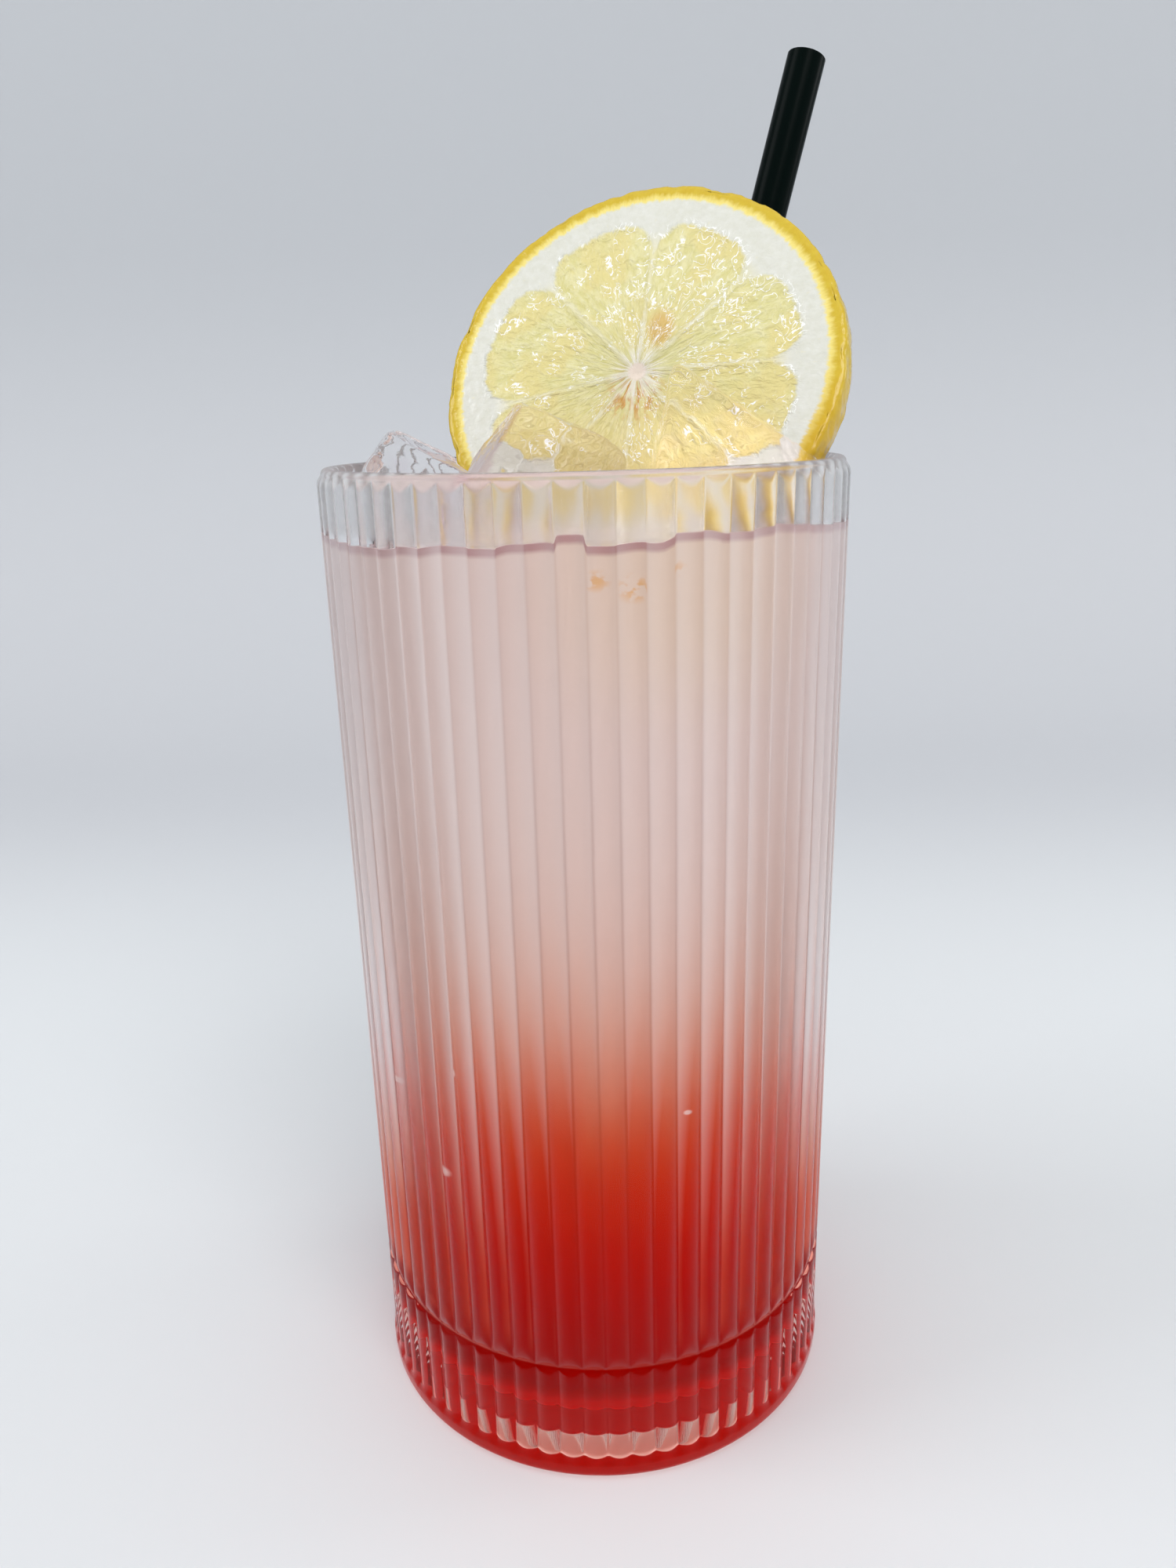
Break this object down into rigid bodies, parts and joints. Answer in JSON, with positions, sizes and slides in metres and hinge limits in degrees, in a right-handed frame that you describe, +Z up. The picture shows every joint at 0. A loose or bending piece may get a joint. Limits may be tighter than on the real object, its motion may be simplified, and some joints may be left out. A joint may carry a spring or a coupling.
{
  "type": "glass of lemonade",
  "caption": "Tall ribbed tumbler of pink lemonade over red syrup, with a lemon wheel, clear ice and a black straw.",
  "frame": {"origin": "centre of the glass's base, on the table; the bounding box's centre is within about 1 mm of it", "axes": "+Z up along the glass axis; -Y is the front, which the lemon wheel's cut face looks towards; the straw leans towards +X and +Y"},
  "size_m": [0.0767, 0.0752, 0.2053],
  "materials": {
    "glass": "clear, pressed ribs",
    "syrup": "deep red, translucent",
    "lemonade": "cloudy pale pink",
    "lemon": "wet cut fruit with a yellow rind",
    "straw": "glossy black",
    "ice": "clear, wet"
  },
  "bodies": {
    "root": {"glass": "glass", "syrup": "syrup", "lemonade": "lemonade", "lemon_wheel": "lemon", "straw": "straw", "ice_left": "ice", "ice_front": "ice", "ice_right": "ice"}
  },
  "joints": []
}
